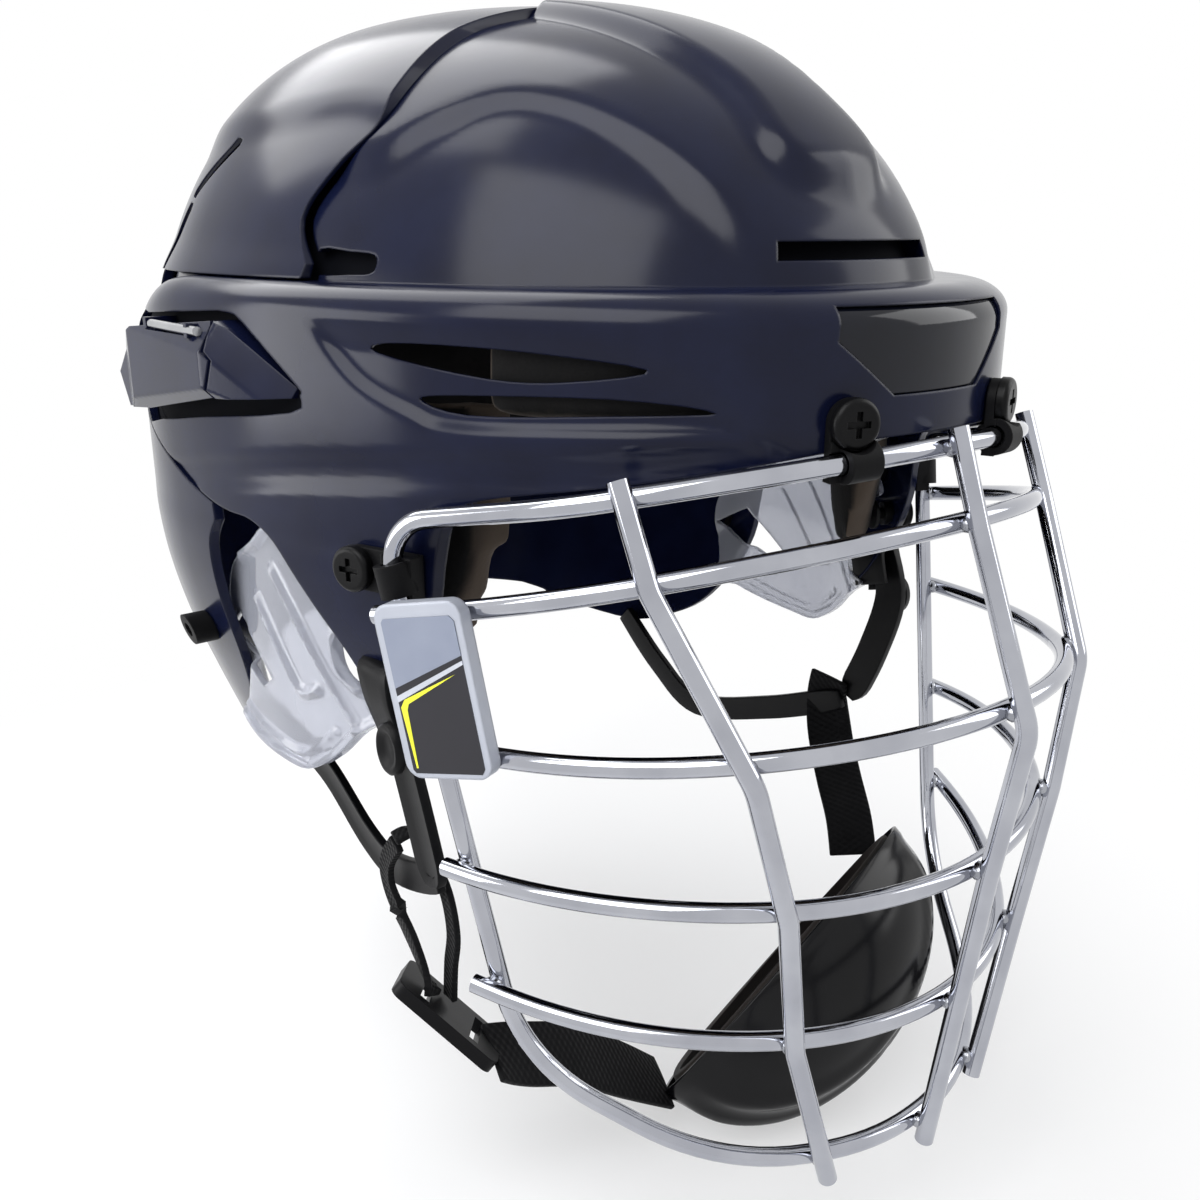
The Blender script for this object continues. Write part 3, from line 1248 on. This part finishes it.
@dataclass
class ChinWebbing:
    """The woven webbing, the cord loop and the ladder buckle between the arms and the cup."""

    thickness: float = 1.8
    crown: float = 0.25
    straps: tuple[Strap, ...] = (
        Strap("webbing_near", WEBBING, 18.0,
              ((-86, -109.5, -137.2), (-76, -110.5, -142), (-60, -111, -150), (-44, -111.5, -162), (-26, -113, -176)),
              ((0, 0.9, 0.4), (0, 0.75, 0.65), (0, 0.7, 0.7), (0, 0.7, 0.7), (0, 0.85, 0.5)), ("webbing_right",)),
        Strap("cord_loop_outer", CORD, 5.2,
              ((-95.4, -80.5, -83), (-95.2, -74, -92), (-94.6, -74.5, -101), (-94.8, -86, -111), (-95.6, -97, -121.5)),
              ((0, 0.6, -0.5), (0, 1, 0), (0, 1, 0.4), (0, 0.5, 0.8), (0, 0.6, 0.6)), ("strap_loop_right",)),
        Strap("cord_loop_inner", CORD, 5.0,
              ((-89.6, -83, -84), (-89.4, -94, -92), (-89.4, -98, -104), (-89.6, -96.5, -115), (-89.7, -95.5, -126)),
              ((0, 1, 0),) * 5),
        Strap("cord_bridge", CORD, 5.2, ((-96, -80.5, -81.6), (-92.5, -81.5, -80.4), (-89, -83, -81.8)),
              ((0, 1, 0),) * 3, steps=5),
        Strap("webbing_far", WEBBING, 16.0,
              ((91.5, -72, -83), (91.4, -71.5, -92), (88, -77, -104), (80.5, -88, -114), (72.5, -100, -123),
               (67.5, -107, -133)),
              ((0, 1, 0.1), (-0.2, 1, 0.1), (-0.5, 0.85, 0), (-0.7, 0.7, -0.1), (-0.8, 0.55, -0.1),
               (-0.8, 0.55, -0.2)), ("webbing_left",)))

    def build(self) -> None:
        """Lays every strap and dresses the buckle."""
        for strap in self.straps:
            centre = curve_through([Vector(place) for place in strap.places], strap.steps)
            across = [v.normalized() for v in curve_through([Vector(a) for a in strap.across], strap.steps)]
            made = ribbon(strap.name, centre, across, strap.width, self.thickness, crown=self.crown)
            finish_piece(made, strap.look, "chin_strap", "webbing", *strap.stands_for)
        dress(STRAP_PLASTIC, "ladder_buckle")


@dataclass
class ChinCup:
    """The chin cup: a gloss half shell with long ribs, a rolled rim, and its soft pad."""

    half_width: float = 57.0
    half_height: float = 31.0
    depth: float = 40.0
    wall: float = 2.6
    pad_gap: float = 3.5
    pad_wall: float = 5.6
    rib: float = 1.6
    rib_width: float = 0.075
    rib_bow: float = 0.1
    rim: float = 1.2
    rim_width: float = 0.08
    roll: float = 28.0
    pitch: float = 42.0
    middle: Place = (0.19, -0.676, -1.106)
    ribs: tuple[float, ...] = (-0.72, -0.43, 0.02, 0.36)

    @property
    def matrix(self) -> Matrix:
        """The cup's own frame: X along it, Y up over the chin, Z out of its face."""
        roll, pitch = math.radians(self.roll), math.radians(self.pitch)
        along = Vector((math.cos(roll), 0, math.sin(roll)))
        out = Vector((0, -math.cos(pitch), -math.sin(pitch)))
        out = (out - along * out.dot(along)).normalized()
        columns = Matrix((along, out.cross(along), out)).transposed().to_4x4()
        return Matrix.Translation(spot(*self.middle)) @ columns

    def lift(self, x: float, y: float, z: float) -> float:
        """Returns the height of the ribs and the rim at a place of the unit ball."""
        ribs = sum(math.exp(-(((y - at - self.rib_bow * x * x) / self.rib_width) ** 2)) for at in self.ribs)
        return self.rib * ribs * min(1.0, z * 2.5) + self.rim * math.exp(-((z / self.rim_width) ** 2))

    def bowl(
        self, name: str, outset: float, ribbed: bool, wall: float, edge: float, segments: int,
    ) -> bpy.types.Object:
        """Shapes half an ellipsoid, open behind, and gives it its wall and its rounded rim.

        Args:
            name: The piece's name.
            outset: How far its middle skin stands outside the cup's sizes.
            ribbed: Whether it has ribs.
            wall: Its wall.
            edge: The rounding of its rim.
            segments: The rounding's faces.

        Returns:
            The bowl.
        """
        bm = bmesh.new()
        bmesh.ops.create_uvsphere(bm, u_segments=96, v_segments=64, radius=1.0)
        bmesh.ops.bisect_plane(bm, geom=bm.verts[:] + bm.edges[:] + bm.faces[:], plane_co=(0, 0, 0),
                               plane_no=(0, 0, 1), clear_inner=True)
        sizes = (self.half_width, self.half_height, self.depth)
        for vert in bm.verts:
            lift = outset + (self.lift(*vert.co) if ribbed else 0)
            vert.co = [share * (size + lift) for share, size in zip(vert.co, sizes)]
        bmesh.ops.transform(bm, matrix=self.matrix, verts=bm.verts)
        made = new_object(name, bm)
        modifier(made, "SOLIDIFY", thickness=wall * MM, offset=0.0, use_even_offset=False)
        return roll_edges(made, edge, segments)

    def build(self) -> None:
        """Builds the cup and its pad."""
        cup = self.bowl("chin_cup_moulding", -self.wall / 2, True, self.wall, 0.8, 3)
        finish_piece(cup, CUP, "chin_strap", "cup", "chin_cup")
        pad = self.bowl("chin_pad_foam", -self.wall - self.pad_gap, False, self.pad_wall, 1.8, 4)
        finish_piece(pad, CUP_FOAM, "chin_strap", "foam", "chin_pad")


# Liner and cage


@dataclass
class Liner:
    """The foam pads: each is a copy of its solid, swollen as cloth under pressure and then smoothed."""

    voxel: float = 4.5
    start_inset: float = 0.9
    cap: float = 2.4
    pressure: float = 4.0
    frames: int = 20
    edge_facing: Point = (0.75, 0.45)
    pads: dict[str, str] = field(default_factory=lambda: {
        "brow_pad": "front", "crown_pad_front": "front", "crown_pad_rear": "rear", "occipital_pad": "rear",
        "temple_pad_right": "front", "temple_pad_left": "front", "side_pad_right": "front", "side_pad_left": "front",
        "rear_pad_right": "rear", "rear_pad_left": "rear",
    })

    def outward(self, at: Vector, dome: bool) -> Vector:
        """Returns the direction out of the head at a place in metres."""
        p = at / MM
        length = DOME_FRONT_LENGTH if p.y < 0 else DOME_BACK_LENGTH
        return Vector((p.x / DOME_HALF_WIDTH**2, p.y / length**2, p.z / DOME_HEIGHT**2 if dome else 0)).normalized()

    def start(self, node: str) -> bpy.types.Object:
        """Copies a pad's solid, shrinks it a little and gives it an even skin."""
        pad = cad_copy(node, f"{node}_foam", 0.05)
        modifier(pad, "REMESH", mode="VOXEL", voxel_size=self.voxel * MM)
        settle(pad)
        for vert, normal in [(v, v.normal.copy()) for v in pad.data.vertices]:
            vert.co -= normal * self.start_inset * MM
        return pad

    def swell(self, pads: list[bpy.types.Object]) -> None:
        """Runs the cloth simulation for all pads at once and applies it, with every move capped."""
        scene = bpy.context.scene
        rest = {pad.name: [v.co.copy() for v in pad.data.vertices] for pad in pads}
        for pad in pads:
            cloth = pad.modifiers.new("swell", "CLOTH")
            cloth.settings.use_pressure = True
            cloth.settings.uniform_pressure_force = self.pressure
            cloth.settings.effector_weights.gravity = 0.0
            cloth.settings.quality = 5
            cloth.point_cache.frame_start, cloth.point_cache.frame_end = 1, self.frames
        for number in range(1, self.frames + 1):
            scene.frame_set(number)
        for pad in pads:
            settle(pad)
            for vert, old in zip(pad.data.vertices, rest[pad.name]):
                move = vert.co - old
                if move.length > self.cap * MM:
                    move = move.normalized() * self.cap * MM
                vert.co = old + move
        scene.frame_set(1)

    def finish(self, pad: bpy.types.Object, node: str) -> None:
        """Keeps a pad off the shell, marks its cut edges, and gives it its finish."""
        dome = "crown" in node
        low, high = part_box(node)
        for vert in pad.data.vertices:
            vert.co = Vector([min(max(c, a), b) for c, a, b in zip(vert.co, low, high)])
        modifier(pad, "SUBSURF", levels=1, render_levels=1)
        settle(pad)
        mark = pad.data.attributes.new("cut_edge", "FLOAT", "POINT")
        values = []
        for vert in pad.data.vertices:
            facing = abs(vert.normal.dot(self.outward(vert.co, dome)))
            values.append(float(eased(facing, *self.edge_facing)))
        mark.data.foreach_set("value", values)
        pad.data.shade_smooth()
        finish_piece(pad, FOAM, self.pads[node], "foam", node)

    def build(self) -> None:
        """Builds every pad."""
        made = {node: self.start(node) for node in self.pads}
        self.swell(list(made.values()))
        for node, pad in made.items():
            self.finish(pad, node)


@dataclass
class Cage:
    """The welded wire cage, its weld beads, clips and screws; places are shares of the driving sizes."""

    bead: float = 2.9
    outer: tuple[Place, ...] = (
        (0.643, -0.857, 0.152), (0.637, -0.9, 0.019), (0.55, -1.018, -0.26), (0.455, -1.04, -0.55),
        (0.39, -1.027, -0.847), (0.277, -1.03, -1.149))
    centre: tuple[Place, ...] = (
        (0, -1.025, 0.206), (0, -1.06, 0.079), (0, -1.155, -0.23), (0, -1.129, -0.552), (0, -1.101, -0.849),
        (0, -1.072, -1.152))
    bar_ends: tuple[Place, ...] = (
        (0.892, -0.576, -0.081), (0.863, -0.615, -0.311), (0.825, -0.65, -0.565), (0.797, -0.688, -0.802))

    def beads(self) -> bpy.types.Object:
        """Puts a small squashed weld bead at every crossing."""
        crossings = [(side.value * x, y, z) for x, y, z in self.outer + self.bar_ends for side in Side]
        bm = bmesh.new()
        for number, place in enumerate(crossings + list(self.centre)):
            squash = Matrix.Diagonal((1.0, 0.85, 0.72 + 0.06 * (number % 3), 1.0))
            turned = Matrix.Translation(spot(*place)) @ Matrix.Rotation(0.7 * number, 4, "Z") @ squash
            made = bmesh.ops.create_icosphere(bm, subdivisions=2, radius=self.bead)
            bmesh.ops.transform(bm, matrix=turned, verts=made["verts"])
        return new_object("weld_beads", bm)

    def build(self) -> None:
        """Dresses the wires and adds the beads."""
        bars = [f"cage_bar_{number}" for number in range(2, 6)]
        dress(CHROME, "cage_loop", *bars, *[f"cage_upright_{word}" for word in ("right", "centre", "left")])
        finish_piece(self.beads(), WELD, "front", "cage")
        for word in (side.word for side in Side):
            dress(NYLON, f"forehead_clip_{word}", f"side_clip_{word}")
            dress(BLACK_STEEL, f"clip_screws_{word}", f"clip_nuts_{word}", f"guard_screw_{word}", f"guard_rivet_{word}")
            dress(NYLON, f"strap_post_{word}", f"adjust_rail_{word}", f"rail_guide_{word}")
        dress(BADGE, "brow_badge")


# The studio


@dataclass
class Studio:
    """The camera at the photograph's view, soft lamps, and a plain pale floor and background.

    A lamp's row holds its place, what it is aimed at, its size and its power.
    """

    camera_place: Place = (-235.1, -339.3, 76.9)
    right: Place = (0.7756, -0.6312, 0.0)
    up: Place = (0.1898, 0.2332, 0.9537)
    back: Place = (-0.6020, -0.7397, 0.3007)
    lens: float = 35.97
    floor_tone: str = "#f4f4f5"
    floor_reach: float = 6000.0
    sky_tone: str = "#eef0f4"
    sky_strength: float = 0.42
    white: str = "#ffffff"
    lamps: tuple[tuple[Place, Place, float, float], ...] = (
        ((-700, -300, 800), (0, -40, 20), 800, 9.0),
        ((760, -600, 480), (0, -40, 0), 700, 4.0),
        ((-100, 620, 900), (0, 0, 40), 900, 9.0),
        ((-900, 420, 160), (0, -20, 20), 600, 5.0),
    )

    def seen_white(self, tree: Tree) -> Socket:
        """Returns 1 where a camera, glossy or transmission ray looks, for a white background."""
        rays = add_node(tree, "LightPath").outputs
        seen = rays["Is Camera Ray"]
        for other in ("Is Glossy Ray", "Is Transmission Ray"):
            seen = add_node(tree, "Math", {0: seen, 1: rays[other]}, operation="MAXIMUM").outputs[0]
        return seen

    def build_world(self) -> None:
        """Sets the world: a plain pale light, white where the camera and the reflections see it."""
        world = bpy.data.worlds.new("studio")
        bpy.context.scene.world = world
        world.use_nodes = True
        tree = world.node_tree
        tree.nodes.clear()
        light = add_node(tree, "Background", {"Color": linear(self.sky_tone), "Strength": self.sky_strength})
        seen = add_node(tree, "Background", {"Color": linear(self.white), "Strength": 1.0})
        mix = add_node(tree, "MixShader", {0: self.seen_white(tree), 1: light.outputs[0], 2: seen.outputs[0]})
        add_node(tree, "OutputWorld", {"Surface": mix.outputs[0]})

    def paint_floor(self, material: bpy.types.Material) -> None:
        """Gives the floor's material its paint, which turns to plain white away from the helmet."""
        material.use_nodes = True
        tree = material.node_tree
        tree.nodes.clear()
        where = add_node(tree, "TexCoord").outputs["Object"]
        grain = add_node(tree, "TexNoise", {"Vector": where, "Scale": 4.0})
        rough = add_node(tree, "MapRange", {"Value": grain.outputs["Fac"], "To Min": 0.6, "To Max": 0.7})
        paint = add_node(tree, "BsdfPrincipled", {
            "Base Color": linear(self.floor_tone), "Roughness": rough.outputs[0]})
        reach = add_node(tree, "VectorMath", {0: where}, operation="LENGTH")
        far = add_node(tree, "MapRange", {
            "Value": reach.outputs["Value"], "From Min": 0.2, "From Max": 0.42, "To Min": 0.45},
            interpolation_type="SMOOTHSTEP")
        share = add_node(tree, "Math", {0: self.seen_white(tree), 1: far.outputs[0]}, operation="MULTIPLY")
        white = add_node(tree, "Emission", {"Color": linear(self.white), "Strength": 1.0})
        mix = add_node(tree, "MixShader", {0: share.outputs[0], 1: paint.outputs[0], 2: white.outputs[0]})
        add_node(tree, "OutputMaterial", {"Surface": mix.outputs[0]})

    def build_floor(self, level: float) -> None:
        """Lays the floor.

        Args:
            level: Its height.
        """
        bm = bmesh.new()
        bmesh.ops.create_circle(bm, cap_ends=True, segments=96, radius=self.floor_reach)
        bmesh.ops.translate(bm, vec=(0, 0, level), verts=bm.verts)
        floor = new_object("floor", bm)
        material = bpy.data.materials.new("pale_floor")
        self.paint_floor(material)
        floor.data.materials.append(material)
        floor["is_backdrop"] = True

    def build_lamps(self) -> None:
        """Hangs the soft lamps."""
        for number, (place, aim, size, power) in enumerate(self.lamps):
            lamp = bpy.data.lights.new(f"softbox_{number}", "AREA")
            lamp.shape, lamp.size, lamp.energy = "SQUARE", size * MM, power
            holder = bpy.data.objects.new(f"softbox_{number}", lamp)
            bpy.context.scene.collection.objects.link(holder)
            at, to = Vector(place) * MM, Vector(aim) * MM
            holder.location = at
            holder.rotation_euler = (to - at).to_track_quat("-Z", "Y").to_euler()

    def build_camera(self) -> None:
        """Sets the camera at the photograph's viewing angle."""
        camera = bpy.data.cameras.new("camera")
        camera.lens, camera.sensor_width, camera.sensor_fit = self.lens, 36.0, "AUTO"
        camera.clip_start, camera.clip_end = 0.01, 50
        holder = bpy.data.objects.new("camera", camera)
        bpy.context.scene.collection.objects.link(holder)
        columns = [Vector(v).normalized() for v in (self.right, self.up, self.back)]
        turn = Matrix(columns).transposed().to_4x4()
        holder.matrix_world = Matrix.Translation(Vector(self.camera_place) * MM) @ turn
        bpy.context.scene.camera = holder

    def build(self, level: float) -> None:
        """Builds the studio round the helmet, with its floor at a level."""
        bpy.context.scene.view_settings.view_transform = "Standard"
        self.build_world()
        self.build_floor(level)
        self.build_lamps()
        self.build_camera()


# The arms' routes in the side view: the near V carries the buckle, the far one hangs a little lower.
HANGERS = (
    StrapHanger(Side.RIGHT, ((-85.0, -31.0), (-91.6, -49.5), (-97.0, -68.0), (-101.5, -86.0)),
                ((34.9, -81.6), (5.0, -82.0), (-24.4, -85.0), (-52.4, -95.0), (-71.5, -96.3), (-97.7, -87.6))),
    StrapHanger(Side.LEFT, ((-85.0, -31.0), (-91.6, -48.2), (-87.0, -70.0), (-79.5, -89.0)),
                ((33.2, -83.0), (13.1, -101.0), (-8.7, -112.5), (-45.4, -103.0), (-78.5, -89.6))),
)


def main() -> None:
    """Builds the helmet, then the studio."""
    logging.basicConfig(level=logging.INFO, format="%(name)s: %(message)s")
    cad_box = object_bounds()
    shells = (SplitShell(), Cage(), EarGuards(), Adjuster(), SizeTag(), Liner())
    for assembly in shells + HANGERS + (ChinWebbing(), ChinCup()):
        assembly.build()
    Studio().build(cad_box[0][2] / MM - 0.4)


if __name__ == "__main__":
    main()
